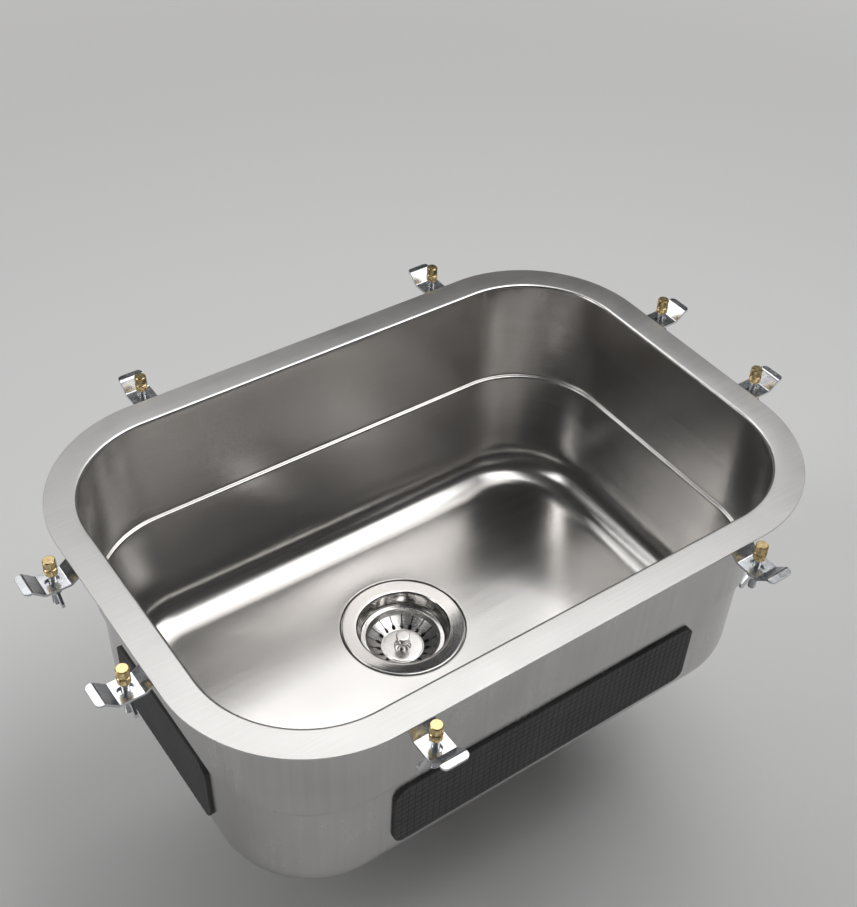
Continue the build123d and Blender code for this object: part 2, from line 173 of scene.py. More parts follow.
def skinned(name, rings):
    """Piece whose faces run from ring to ring, and from the last one back to the first."""
    count = len(rings[0])
    faces = []
    for number in range(len(rings)):
        near = number * count
        far = (number + 1) % len(rings) * count
        for step in range(count):
            following = (step + 1) % count
            faces.append((near + step, near + following, far + following, far + step))
    return meshed(name, [point for ring in rings for point in ring], faces)


def fitted(piece, body, slot, *nodes):
    """Puts a piece in the place of CAD nodes: hides them and sets the piece on their body. Its slot
    is not used.
    """
    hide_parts(*nodes)
    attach(piece, body)


ledge_edge = rim_bend + ledge_depth * draft
wall_foot = rim_bend + ledge_width + floor_depth * draft
wall_line = rounded(
    [
        (-flange_width, 0, 0),
        (rim_bend, 0, rim_bend),
        (ledge_edge, -ledge_depth, 1.5 * mm),
        (ledge_edge + ledge_width, -ledge_depth, 2.2 * mm),
        (wall_foot, -floor_depth, floor_radius),
        (wall_foot + floor_radius, -floor_depth, 0),
    ]
)
floor_line = []
for step in range(1, floor_steps):
    share = step / floor_steps
    fall = share * share * (3 - 2 * share)
    floor_line.append(Vector((share, -floor_depth - (drain_depth - floor_depth) * fall)))
recess_line = rounded(
    [
        (recess_radius + recess_lead, -drain_depth, 0),
        (recess_radius, -drain_depth, recess_bend),
        (recess_radius, -drain_depth - recess_depth, recess_bend),
        (drain_hole, -drain_depth - recess_depth, 0),
    ]
)


def bowl_rings(wall, floor, recess):
    """Rings of one face of the sheet: down the wall, over the floor and into the recess."""
    rings = [[Vector((x, y, height)) for x, y in outline(inset)] for inset, height in wall]
    spokes = [point - drain for point in outline(wall[-1].x)]
    for share, height in floor:
        reaches = [spoke.length * (1 - share) + recess[0].x * share for spoke in spokes]
        ring = [drain + spoke.normalized() * reach for spoke, reach in zip(spokes, reaches)]
        rings.append([Vector((x, y, height)) for x, y in ring])
    for radius, height in recess:
        ring = [drain + spoke.normalized() * radius for spoke in spokes]
        rings.append([Vector((x, y, height)) for x, y in ring])
    return rings


cut_edge = rounded(
    [
        (-flange_width, -sheet / 2, 0),
        (-flange_width, 0, 0.3 * mm),
        (-flange_width + 1 * mm, 0, 0),
    ]
)
inside = bowl_rings(cut_edge + wall_line[1:], floor_line, recess_line)
outside = bowl_rings(
    skin_below(wall_line, sheet),
    [Vector((share, height - sheet)) for share, height in floor_line],
    skin_below(recess_line, -sheet),
)
bowl = skinned("bowl_sheet", inside + outside[::-1])
fitted(bowl, "sink", "bowl_steel", "bowl")


class Shade:
    """One value in a finish. Sums on it, with numbers or other values, add Math nodes."""

    def __init__(self, tree, socket=None):
        self.tree = tree
        self.socket = socket

    def node(self, kind, settings, sockets, output=0):
        """Adds a node: its settings first, then the values or links of its sockets."""
        made = self.tree.nodes.new("ShaderNode" + kind)
        for name, value in settings.items():
            setattr(made, name, value)
        for name, value in sockets.items():
            if isinstance(value, Shade):
                self.tree.links.new(value.socket, made.inputs[name])
            else:
                made.inputs[name].default_value = value
        return Shade(self.tree, made.outputs[output] if made.outputs else None)

    def maths(self, operation, left, right):
        return self.node("Math", {"operation": operation}, {0: left, 1: right})

    def __add__(self, other):
        return self.maths("ADD", self, other)

    def __radd__(self, other):
        return self.maths("ADD", other, self)

    def __sub__(self, other):
        return self.maths("SUBTRACT", self, other)

    def __rsub__(self, other):
        return self.maths("SUBTRACT", other, self)

    def __mul__(self, other):
        return self.maths("MULTIPLY", self, other)

    def __rmul__(self, other):
        return self.maths("MULTIPLY", other, self)


def bare(name):
    """A new material, and the value that its nodes start from."""
    material = bpy.data.materials.new(name)
    material.use_nodes = True
    material.node_tree.nodes.clear()
    return material, Shade(material.node_tree)


def surface(start, sockets):
    """Ends a finish in one shader with these sockets."""
    shader = start.node("BsdfPrincipled", {}, sockets)
    start.node("OutputMaterial", {}, {"Surface": shader})


def tone(start, share, first, second):
    """Colour between two others."""
    return start.node("Mix", {"data_type": "RGBA"}, {0: share, 6: first, 7: second}, 2)


def cloud(start, sizes, detail=2):
    """Noise from -0.5 to 0.5 whose blots measure about sizes along X, Y and Z."""
    place = start.node("TexCoord", {}, {}, "Object")
    scales = [1 / size for size in sizes]
    drawn = start.node("VectorMath", {"operation": "MULTIPLY"}, {0: place, 1: scales})
    return start.node("TexNoise", {}, {"Vector": drawn, "Scale": 1, "Detail": detail}) - 0.5


def blots(start, size, detail=2):
    """Noise from -0.5 to 0.5 in round blots of one size."""
    return cloud(start, (size, size, size), detail)


def lies_flat(start, low, high):
    """1 where the surface is level, 0 where it stands, with a smooth change between."""
    normal = start.node("NewGeometry", {}, {}, "Normal")
    up = start.node("SeparateXYZ", {}, {0: normal}, "Z")
    up = start.node("Math", {"operation": "ABSOLUTE"}, {0: up})
    return start.node("MapRange", {"interpolation_type": "SMOOTHSTEP"}, {0: up, 1: low, 2: high})


def brushed(start, long, fine, level):
    """Lines from -0.5 to 0.5 that run level round the walls, and lengthwise on the floor."""
    wall_lines = cloud(start, (long, long, fine))
    floor_lines = cloud(start, (long, fine, long))
    return wall_lines + (floor_lines - wall_lines) * level


def satin_sheet():
    """Inside of the bowl: even brushed lines, with the faint unevenness of drawn sheet."""
    material, start = bare("satin_sheet")
    level = lies_flat(start, 0.55, 0.95)
    lines = brushed(start, 40 * mm, 0.8 * mm, level)
    streaks = brushed(start, 160 * mm, 4 * mm, level)
    hand = blots(start, 70 * mm, 4)
    swell = cloud(start, (45 * mm, 45 * mm, 60 * mm), 1)
    bump = start.node("Bump", {}, {"Strength": 0.5, "Distance": 0.12 * mm, "Height": swell})
    surface(
        start,
        {
            "Base Color": tone(
                start, lines + streaks + 0.5, (0.58, 0.565, 0.55, 1), (0.62, 0.605, 0.59, 1)
            ),
            "Metallic": 1,
            "Roughness": 0.235 + lines * 0.03 + streaks * 0.05 + hand * 0.07,
            "Anisotropic": 0.6,
            "Normal": bump,
        },
    )
    return material


def ground_flange():
    """Top of the flange: ground flat along its length, coarser and duller than the inside."""
    material, start = bare("ground_flange")
    lines = cloud(start, (60 * mm, 1.2 * mm, 60 * mm), 3)
    hand = blots(start, 30 * mm, 4)
    surface(
        start,
        {
            "Base Color": tone(
                start, lines * 1.2 + hand * 0.6 + 0.5, (0.50, 0.49, 0.48, 1), (0.60, 0.59, 0.575, 1)
            ),
            "Metallic": 1,
            "Roughness": 0.37 + lines * 0.12 + hand * 0.10,
            "Anisotropic": 0.4,
        },
    )
    return material


def mill_sheet():
    """Outside of the bowl: dull rolled skin, drawn down the walls by the die."""
    material, start = bare("mill_sheet")
    drawn = cloud(start, (5 * mm, 5 * mm, 240 * mm)) * (1 - lies_flat(start, 0.1, 0.5))
    hand = blots(start, 60 * mm, 4)
    swell = cloud(start, (55 * mm, 55 * mm, 90 * mm), 1)
    bump = start.node("Bump", {}, {"Strength": 0.35, "Distance": 0.3 * mm, "Height": swell})
    surface(
        start,
        {
            "Base Color": tone(
                start, drawn * 0.7 + hand * 1.1 + 0.5, (0.45, 0.445, 0.44, 1), (0.60, 0.595, 0.59, 1)
            ),
            "Metallic": 1,
            "Roughness": 0.25 + drawn * 0.09 + hand * 0.22,
            "Normal": bump,
        },
    )
    return material


for finish in (satin_sheet(), ground_flange(), mill_sheet()):
    bowl.data.materials.append(finish)
inside_faces = len(inside) * len(inside[0])
flange_edge = -0.2 * mm
for face in bowl.data.polygons:
    if face.index >= inside_faces:
        face.material_index = 2
    elif face.center.z > flange_edge:
        face.material_index = 1

# Damping pads
# Rubber sheets moulded with a waffle, cut with round corners and glued outside the lower
# walls and under the floor, so that the bowl doesn't drum.

pad_thick = 3 * mm
pad_corner = 12 * mm
pad_cell = 6 * mm
groove_depth = 0.7 * mm
groove_half = 0.8 * mm
long_pad = 300 * mm
short_pad = 150 * mm
floor_pad_place = 140 * mm
floor_pad_length = 125 * mm
floor_pad_width = 190 * mm
pad_top = ledge_depth + 14 * mm
pad_bottom = floor_depth - floor_radius
pad_height = pad_bottom - pad_top
pad_middle = -(pad_top + pad_bottom) / 2
bowl_surface = BVHTree.FromPolygons(
    [corner.co for corner in bowl.data.vertices], [face.vertices for face in bowl.data.polygons]
)


def waffle(length):
    """Places along a pad: the middle of each groove, and both edges of each cell."""
    cells = round(length / pad_cell)
    cell = length / cells
    places = [-length / 2]
    for number in range(cells):
        start = number * cell - length / 2
        places += [start + groove_half, start + cell - groove_half, start + cell]
    return places


def pad(node, middle, across, up, length, height):
    """Pad laid on the bowl's outside. It spans across and up, and faces their cross."""
    outward = across.cross(up)
    columns = waffle(length)
    rows = waffle(height)
    straight_x = length / 2 - pad_corner
    straight_y = height / 2 - pad_corner
    face_points = []
    back_points = []
    for row, y in enumerate(rows):
        for column, x in enumerate(columns):
            inner_x = min(max(x, -straight_x), straight_x)
            inner_y = min(max(y, -straight_y), straight_y)
            inner = Vector((inner_x, inner_y))
            beyond = Vector((x, y)) - inner
            if beyond.length > pad_corner:
                beyond *= pad_corner / beyond.length
            place = inner + beyond
            start = middle + across * place.x + up * place.y + outward * floor_radius
            back = bowl_surface.ray_cast(start, -outward)[0]
            in_groove = row % 3 == 0 or column % 3 == 0
            sunk = groove_depth if in_groove else 0
            face_points.append(back + outward * (pad_thick - sunk))
            back_points.append(back)

    width = len(columns)
    last = len(face_points) - width
    faces = []
    for row in range(len(rows) - 1):
        for number in range(row * width, row * width + width - 1):
            faces.append((number, number + 1, number + width + 1, number + width))
    edge = list(range(width - 1))
    edge += list(range(width - 1, last + width - 1, width))
    edge += list(range(last + width - 1, last, -1))
    edge += list(range(last, 0, -width))
    back_edge = [len(face_points) + step for step in range(len(edge))]
    for step in range(len(edge)):
        following = (step + 1) % len(edge)
        faces.append((edge[step], edge[following], back_edge[following], back_edge[step]))
    faces.append(back_edge)
    points = face_points + [back_points[number] for number in edge]
    made = meshed(node + "_sheet", points, faces)
    made.data.materials.append(damping_rubber)
    fitted(made, "sink", "damping_rubber", node)


def pad_rubber():
    """Dark grey rubber, matt, with a fine tooth from its mould and a bloom of dust."""
    material, start = bare("pad_rubber")
    dust = blots(start, 40 * mm, 5)
    tooth = blots(start, 0.6 * mm)
    bump = start.node("Bump", {}, {"Strength": 0.4, "Distance": 0.1 * mm, "Height": tooth})
    surface(
        start,
        {
            "Base Color": tone(
                start, dust * 1.4 + 0.5, (0.045, 0.045, 0.048, 1), (0.10, 0.10, 0.10, 1)
            ),
            "Roughness": 0.72 + dust * 0.3,
            "Normal": bump,
        },
    )
    return material


damping_rubber = pad_rubber()
along_x = Vector((1, 0, 0))
along_y = Vector((0, 1, 0))
upward = Vector((0, 0, 1))
front = Vector((0, -opening_width / 2, pad_middle))
right = Vector((opening_length / 2, 0, pad_middle))
back = front * Vector((1, -1, 1))
left = right * Vector((-1, 1, 1))
pad("sound_pad_front", front, along_x, upward, long_pad, pad_height)
pad("sound_pad_back", back, -along_x, upward, long_pad, pad_height)
pad("sound_pad_right", right, along_y, upward, short_pad, pad_height)
pad("sound_pad_left", left, -along_y, upward, short_pad, pad_height)
for side, name in ((-1, "sound_pad_floor_left"), (1, "sound_pad_floor_right")):
    under_floor = Vector((side * floor_pad_place, 0, -floor_depth))
    pad(name, under_floor, along_x, -along_y, floor_pad_length, floor_pad_width)

# Strainer cup
# A turned and polished stainless cup. Its flange lies in the recess of the floor, and its
# outlet goes down through the nuts. Four windows in its bottom let the water out.

flange_radius = 57
flange_thick = 1.5
mouth_radius = 42.3
mouth_dip = 0.5
thread_radius = 43.8
thread_end = 18
shelf_outer = 39.4
shelf_inner = 35.6
shelf_depth = 15.5
seat_radius = 34
seat_depth = 38
under_radius = 35.8
neck_radius = 37.4
cup_under = seat_depth + 2
spigot_radius = 24
spigot_inner = 21.6
spigot_end = 60
hub_bore = 5.5
hub_radius = 7.5
hub_end = 50
window_inner = 8.5
window_outer = 20.6
arm_half = 2.5 * mm
arm_count = 4
first_arm = math.radians(45)


def profile(*corners, closed=True):
    """Line of a turned piece, from corners of (radius, depth, rounding) in millimetres."""
    sized = [(radius * mm, -depth * mm, rounding * mm) for radius, depth, rounding in corners]
    return rounded(sized, closed, 3 * mm)


def bands(count, first, narrow, steps):
    """Columns of a turned piece: in each of count sectors a narrow band, then a wide one.

    A column is its angle, its lean (-1 and 1 at the narrow band's edges) and its share of a
    tooth's stand.
    """
    pitch = math.tau / count
    columns = []
    for number in range(count):
        middle = first + number * pitch
        columns += [(middle, lean, share) for lean, share in narrow]
        for step in range(1, steps):
            way = step / steps
            columns.append((middle + pitch * way, 1 - 2 * way, 0))
    return columns


def turned(line, columns, half_width):
    """Rings of a turned piece, from a line of (radius, height, how far its teeth stand)."""
    rings = []
    for radius, height, *stand in line:
        ring = []
        for angle, lean, share in columns:
            reach = radius + share * sum(stand)
            if lean:
                angle += lean * math.asin(half_width(radius) / reach)
            ring.append(Vector((math.cos(angle) * reach, math.sin(angle) * reach, height)))
        rings.append(ring)
    return rings


def pierced(name, rings, sector, gap, through):
    """Piece as skinned makes it, but open where its gap columns cross some of its rings.

    Each sector has as many columns, and through pairs the upper rings with the lower ones.
    """
    count = len(rings[0])
    cut = {upper for upper, lower in through[:-1]} | {lower for upper, lower in through[1:]}

    def corner(ring, column):
        return ring % len(rings) * count + column % count

    def panel(near, far, column):
        return (
            corner(near, column),
            corner(near, column + 1),
            corner(far, column + 1),
            corner(far, column),
        )

    faces = []
    for ring in range(len(rings)):
        for column in range(count):
            if ring not in cut or column % sector not in gap:
                faces.append(panel(ring, ring + 1, column))
    for first in range(gap[0], count, sector):
        last = first + len(gap)
        for (upper, lower), (next_upper, next_lower) in zip(through, through[1:]):
            for side in (first, last):
                near = (corner(upper, side), corner(lower, side))
                faces.append((*near, corner(next_lower, side), corner(next_upper, side)))
        for upper, lower in (through[0], through[-1]):
            faces += [panel(upper, lower, column) for column in range(first, last)]
    return meshed(name, [point for ring in rings for point in ring], faces)


def on_waste(piece, body, slot, material, *nodes):
    """Stands a piece on the waste's axis, at its flange, in the place of CAD nodes."""
    piece.location = (drain.x, drain.y, -drain_depth)
    piece.data.materials.append(material)
    fitted(piece, body, slot, *nodes)


def nearest(line, radius, depth):
    """Number of the line's point that lies nearest to a radius and a depth."""
    wanted = Vector((radius, -depth)) * mm
    return min(range(len(line)), key=lambda number: (line[number] - wanted).length)


def turned_lines(start, fine):
    """Noise from -0.5 to 0.5 in rings about the piece's axis, as a lathe or a mop leaves."""
    place = start.node("TexCoord", {}, {}, "Object")
    flat = start.node("VectorMath", {"operation": "MULTIPLY"}, {0: place, 1: (1, 1, 0)})
    radius = start.node("VectorMath", {"operation": "LENGTH"}, {0: flat}, 1)
    height = start.node("SeparateXYZ", {}, {0: place}, "Z")
    way = (radius - height) * (1 / fine)
    rings = start.node(
        "TexNoise", {"noise_dimensions": "1D"}, {"W": way, "Scale": 1, "Detail": 3}
    )
    return rings - 0.5


def waste_steel(name, rough, fine, depth):
    """Stainless with turned rings: how rough it is, and how fine and deep its rings are."""
    material, start = bare(name)
    rings = turned_lines(start, fine)
    hand = blots(start, 12 * mm, 4)
    bump = start.node("Bump", {}, {"Strength": 0.4, "Distance": depth, "Height": rings})
    surface(
        start,
        {
            "Base Color": (0.66, 0.645, 0.63, 1),
            "Metallic": 1,
            "Roughness": rough * (1 + rings * 0.6 + hand * 0.7),
            "Anisotropic": 0.3,
            "Normal": bump,
        },
    )
    return material


cup_line = profile(
    (flange_radius, 0, 0.9),
    (mouth_radius, mouth_dip, 2.2),
    (shelf_outer, shelf_depth, 0.8),
    (shelf_inner, shelf_depth, 0.8),
    (seat_radius, seat_depth, 6),
    (window_outer, seat_depth, 0),
    (window_inner, seat_depth, 0),
    (hub_bore, seat_depth, 0),
    (hub_bore, hub_end, 0),
    (hub_radius, hub_end, 0.4),
    (hub_radius, cup_under, 0.5),
    (window_inner, cup_under, 0),
    (window_outer, cup_under, 0),
    (spigot_inner, cup_under, 0.3),
    (spigot_inner, spigot_end, 0.3),
    (spigot_radius, spigot_end, 0.5),
    (spigot_radius, cup_under, 0.5),
    (under_radius, cup_under, 7),
    (neck_radius, thread_end + 2, 0.5),
    (thread_radius, thread_end, 0.5),
    (thread_radius, flange_thick, 0),
    (flange_radius, flange_thick, 0.3),
)
upper_outer = nearest(cup_line, window_outer, seat_depth)
upper_inner = nearest(cup_line, window_inner, seat_depth)
lower_outer = nearest(cup_line, window_outer, cup_under)
window_steps = upper_inner - upper_outer
windows = [(upper_outer + step, lower_outer - step) for step in range(window_steps + 1)]
arms = bands(arm_count, first_arm, [(-1, 0), (1, 0)], 35)
sector = len(arms) // arm_count
cup_rings = turned(cup_line, arms, lambda radius: arm_half)
cup = pierced("cup_turning", cup_rings, sector, range(1, sector), windows)
polished = waste_steel("polished_waste", 0.09, 0.9 * mm, 0.004 * mm)
on_waste(cup, "sink", "polished_steel", polished, "strainer_body")

# Seals and locknut
# A thin seal under the cup's flange, a thick rubber gasket and a fibre washer under the
# bowl, and a cast brass nut with eight lugs that draws the cup down on them.

seal_bore = 45.5
seal_bottom = 2.5
gasket_top = 3.7
fibre_top = 7.7
nut_top = 8.7
nut_bottom = 17.7
gasket_bore = thread_radius + 0.3
round_steps = 144
evenly = [(math.tau * step / round_steps, 0, 0) for step in range(round_steps)]


def turning(name, body, slot, material, node, line, columns=evenly, tooth_half=0):
    """Turned piece in the place of one CAD node. Its columns can hold teeth of some width."""
    rings = turned(line, columns, lambda radius: tooth_half)
    on_waste(skinned(name, rings), body, slot, material, node)


def washer(inner, outer, top, bottom, edge):
    """Line of a flat ring whose edges are rounded."""
    return profile(
        (inner, top, edge), (outer, top, edge), (outer, bottom, edge), (inner, bottom, edge)
    )


def black_rubber():
    """Moulded rubber: near black, with a grey bloom and a very fine tooth."""
    material, start = bare("black_rubber")
    bloom = blots(start, 9 * mm, 5)
    tooth = blots(start, 0.4 * mm)
    bump = start.node("Bump", {}, {"Strength": 0.3, "Distance": 0.1 * mm, "Height": tooth})
    surface(
        start,
        {
            "Base Color": tone(start, bloom + 0.5, (0.018, 0.018, 0.02, 1), (0.05, 0.05, 0.05, 1)),
            "Roughness": 0.5 + bloom * 0.3,
            "Normal": bump,
        },
    )
    return material


def pressed_fibre():
    """Brown board pressed from fibres, with lighter flecks that lie level."""
    material, start = bare("pressed_fibre")
    flecks = cloud(start, (1.5 * mm, 1.5 * mm, 0.2 * mm), 4)
    bump = start.node("Bump", {}, {"Strength": 0.4, "Distance": 0.1 * mm, "Height": flecks})
    surface(
        start,
        {
            "Base Color": tone(
                start, flecks * 1.6 + 0.5, (0.24, 0.13, 0.07, 1), (0.52, 0.36, 0.22, 1)
            ),
            "Roughness": 0.85 + flecks * 0.1,
            "Normal": bump,
        },
    )
    return material


def softened(start, radius):
    """Normal of a surface whose sharp edges are rounded to a small radius."""
    return start.node("Bevel", {"samples": 4}, {"Radius": radius})


def worn_edge(start, soft):
    """1 along rounded edges, 0 on the faces between them."""
    normal = start.node("NewGeometry", {}, {}, "Normal")
    alike = start.node("VectorMath", {"operation": "DOT_PRODUCT"}, {0: soft, 1: normal}, 1)
    return start.node("MapRange", {}, {0: alike, 1: 0.995, 2: 0.85})


def cast_brass():
    """Brass as it left the sand: grainy, dull and darker, bright only along its edges."""
    material, start = bare("cast_brass")
    sand = blots(start, 0.9 * mm, 4)
    tarnish = blots(start, 14 * mm, 5)
    soft = softened(start, 0.5 * mm)
    bump = start.node(
        "Bump", {}, {"Strength": 0.5, "Distance": 0.25 * mm, "Height": sand, "Normal": soft}
    )
    worn = worn_edge(start, soft) * 0.6
    surface(
        start,
        {
            "Base Color": tone(
                start,
                tarnish * 1.2 + worn + 0.4,
                (0.40, 0.29, 0.14, 1),
                (0.78, 0.60, 0.32, 1),
            ),
            "Metallic": 1,
            "Roughness": 0.48 + tarnish * 0.2 - worn * 0.2,
            "Normal": bump,
        },
    )
    return material


rubber = black_rubber()
seal_line = washer(seal_bore, flange_radius - 1, flange_thick, seal_bottom, 0.3)
turning("seal_ring", "sink", "seal_rubber", rubber, "flange_seal", seal_line)
gasket_line = washer(gasket_bore, flange_radius, gasket_top, fibre_top, 0.8)
turning("gasket_ring", "sink", "seal_rubber", rubber, "under_gasket", gasket_line)
fibre_line = washer(gasket_bore, flange_radius - 1, fibre_top, nut_top, 0.15)
turning("fibre_ring", "sink", "fibre", pressed_fibre(), "friction_washer", fibre_line)

lug_radius = 55
barrel_radius = 49
lug_stand = lug_radius - barrel_radius
lug_half = 3.5 * mm
lug_count = 8
collar_bottom = nut_top + 2.5


def toothed(*corners):
    """Line of a turned piece, from (radius, depth, how far its teeth stand) in millimetres."""
    return [(radius * mm, -depth * mm, stand * mm) for radius, depth, stand in corners]


locknut_line = toothed(
    (thread_radius, nut_top, 0),
    (lug_radius - 0.5, nut_top, 0),
    (lug_radius, nut_top + 0.5, 0),
    (lug_radius, collar_bottom, 0),
    (barrel_radius, collar_bottom, lug_stand),
    (barrel_radius, nut_bottom - 0.6, lug_stand),
    (barrel_radius - 0.6, nut_bottom, lug_stand),
    (thread_radius + 1, nut_bottom, 0),
    (thread_radius, nut_bottom - 1, 0),
)
lug_form = [(-1, 0), (-1, 0.75), (-0.57, 1), (0.57, 1), (1, 0.75), (1, 0)]
lugs = bands(lug_count, 0, lug_form, 14)
brass_casting = cast_brass()
turning("lugged_nut", "sink", "cast_nut", brass_casting, "locknut", locknut_line, lugs, lug_half)

# Outlet
# A chromed brass tube with a turned-out flange and a stop bead, a white washer, and the
# chromed nut with twelve ribs that holds them to the cup's outlet.

tail_radius = 19
tail_bore = 18
ring_end = spigot_end + 1.5
tail_flange_end = ring_end + 1.5
bead_top = 72
bead_bottom = 76
bead_stand = 1.8
tail_end = spigot_end + 104


def chromed(name, rough):
    """Chrome over brass: a bright blue-white skin with smears of handling."""
    material, start = bare(name)
    rings = turned_lines(start, 0.5 * mm)
    smear = cloud(start, (16 * mm, 16 * mm, 30 * mm), 5)
    bump = start.node("Bump", {}, {"Strength": 0.3, "Distance": 0.01 * mm, "Height": rings})
    surface(
        start,
        {
            "Base Color": (0.68, 0.69, 0.70, 1),
            "Metallic": 1,
            "Roughness": rough + smear * 0.09,
            "Normal": bump,
        },
    )
    return material


def white_plastic():
    """Moulded acetal: milky, a little glossy, with slight sink marks."""
    material, start = bare("white_plastic")
    marks = blots(start, 5 * mm, 3)
    bump = start.node("Bump", {}, {"Strength": 0.2, "Distance": 0.1 * mm, "Height": marks})
    surface(
        start,
        {
            "Base Color": tone(start, marks + 0.5, (0.74, 0.74, 0.70, 1), (0.84, 0.84, 0.81, 1)),
            "Roughness": 0.38 + marks * 0.1,
            "Normal": bump,
        },
    )
    return material


plastic = white_plastic()
tail_washer = washer(tail_radius - 0.4, spigot_radius - 0.5, spigot_end, ring_end, 0.3)
turning("white_ring", "sink", "bush_plastic", plastic, "tailpiece_washer", tail_washer)
tail_line = profile(
    (tail_bore, ring_end, 0.8),
    (spigot_radius - 0.5, ring_end, 0.4),
    (spigot_radius - 0.5, tail_flange_end, 0.4),
    (tail_radius, tail_flange_end, 0.5),
    (tail_radius, bead_top, 1),
    (tail_radius + bead_stand, (bead_top + bead_bottom) / 2, 1.2),
    (tail_radius, bead_bottom, 1),
    (tail_radius, tail_end, 0.4),
    (tail_bore, tail_end, 0.4),
)
tube_chrome = chromed("chromed_tube", 0.12)
turning("tail_tube", "sink", "plated_tube", tube_chrome, "tailpiece", tail_line)

coupling_radius = 27.5
coupling_top = 46
coupling_bottom = tail_flange_end + 3
coupling_bore = tail_radius + 0.3
rib_stand = 1.5
rib_half = 1.5 * mm
rib_count = 12
coupling_line = toothed(
    (spigot_radius + 0.6, coupling_top, 0),
    (coupling_radius - 0.5, coupling_top, 0),
    (coupling_radius, coupling_top + 0.5, 0),
    (coupling_radius, coupling_top + 1, 0),
    (coupling_radius, coupling_top + 1.6, rib_stand),
    (coupling_radius, coupling_bottom - 3.6, rib_stand),
    (coupling_radius, coupling_bottom - 3, 0),
    (coupling_radius, coupling_bottom - 2, 0),
    (coupling_radius - 3, coupling_bottom, 0),
    (coupling_bore, coupling_bottom, 0),
    (coupling_bore, tail_flange_end, 0),
    (spigot_radius, tail_flange_end, 0),
    (spigot_radius, coupling_top + 0.6, 0),
)
rib_form = [(-1, 0), (-1, 0.4), (-0.5, 1), (0.5, 1), (1, 0.4), (1, 0)]
ribs = bands(rib_count, 0, rib_form, 10)
nut_chrome = chromed("chromed_nut", 0.2)
turning(
    "ribbed_nut", "sink", "plated_nut", nut_chrome, "coupling_nut", coupling_line, ribs, rib_half
)

# Basket
# A basket pressed in thin stainless sheet: a flat disc, a cone with eighteen keyhole slots
# punched through it, and a steep rim. It turns on the stem, below a turned, polished knob.

basket_sheet = 0.7 * mm
basket_rim = shelf_depth - 1
rim_radius = 38.2
disc_radius = 18.4
basket_base = 27.5
basket_foot = basket_base + 0.5
stem_radius = 3
shell_hole = stem_radius + 0.06
slot_half = 0.5 * mm
eye_radius = 1.7 * mm
eye_reach = 0.98 * eye_radius
eye_inner = 22 * mm
eye_outer = 23.4 * mm
crease_radius = 33
crease_depth = basket_rim + 6.4
keyholes = 18
first_keyhole = math.radians(-2)

basket_line = profile(
    (shell_hole, basket_base, 0),
    (disc_radius, basket_base, 0.3),
    (disc_radius + 0.8, basket_foot, 0.3),
    (disc_radius + 1.5, basket_foot, 0.4),
    (crease_radius, crease_depth, 0.6),
    (crease_radius + 1.4, basket_rim, 1),
    (rim_radius, basket_rim, 0),
    closed=False,
)


def keyhole_half(radius):
    """Half of a keyhole's width: its long eye with round ends, then its slot."""
    middle = min(max(radius, eye_inner), eye_outer)
    from_eye = min(abs(radius - middle), eye_reach)
    eye = math.sqrt(eye_radius**2 - from_eye**2)
    return eye if radius < eye_outer else max(eye, slot_half)


def crossed(line, radius):
    """The line with one more point, where it crosses a radius."""
    number = next(index for index, point in enumerate(line) if point.x > radius)
    before, after = line[number - 1], line[number]
    share = (radius - before.x) / (after.x - before.x)
    return line[:number] + [before.lerp(after, share)] + line[number:]


for degrees in range(12, 91, 13):
    from_end = eye_radius * math.cos(math.radians(degrees))
    basket_line = crossed(basket_line, eye_inner - from_end)
    basket_line = crossed(basket_line, eye_outer + from_end)
eye_start = eye_inner - eye_reach
radii = [point.x for point in basket_line]
first_cut = min(range(len(radii)), key=lambda number: abs(radii[number] - eye_start))
last_cut = nearest(basket_line, crease_radius, crease_depth)
shell_line = basket_line + skin_below(basket_line, basket_sheet)[::-1]
last_point = len(shell_line) - 1
cuts = [(number, last_point - number) for number in range(first_cut, last_cut + 1)]
slots = bands(keyholes, first_keyhole, [(-1, 0), (1, 0)], 7)
shell_rings = turned(shell_line, slots, keyhole_half)
shell = pierced("basket_pressing", shell_rings, len(slots) // keyholes, range(1), cuts)
pressed_steel = waste_steel("pressed_basket", 0.24, 0.9 * mm, 0.004 * mm)
on_waste(shell, "basket", "polished_steel", pressed_steel, "basket_shell")

knob_top = 13
knob_head = 6.5
knob_neck = 3.9
knob_foot = 8.2
knob_bottom = basket_base - 0.2
screw_radius = 2.4
screw_top = 19
knob_line = profile(
    (0, knob_top, 0),
    (knob_head, knob_top, 0.7),
    (knob_head, knob_top + 3, 1),
    (knob_neck, knob_top + 4.2, 1.2),
    (knob_neck, knob_bottom - 4.5, 4),
    (knob_foot, knob_bottom - 0.8, 0.2),
    (knob_foot, knob_bottom, 0),
    (screw_radius, knob_bottom, 0),
    (screw_radius, screw_top, 0),
    (0, screw_top, 0),
    closed=False,
)
turning("knob_turning", "stem", "polished_steel", polished, "basket_knob", knob_line)

# Stem
# The rod under the knob, with a brass spacer, the rubber stopper and its backing washer,
# and the spring clip that keeps them on. It slides in the plastic bush of the cup.

collar_top = basket_base + 0.9
stopper_top = collar_top + 2.2
stopper_end = stopper_top + 3.4
plate_end = stopper_end + 1
clip_end = plate_end + 1
lip_end = seat_depth - 0.3
lip_radius = 28
stem_end = 54
detent = 44
clip_groove = 2.3


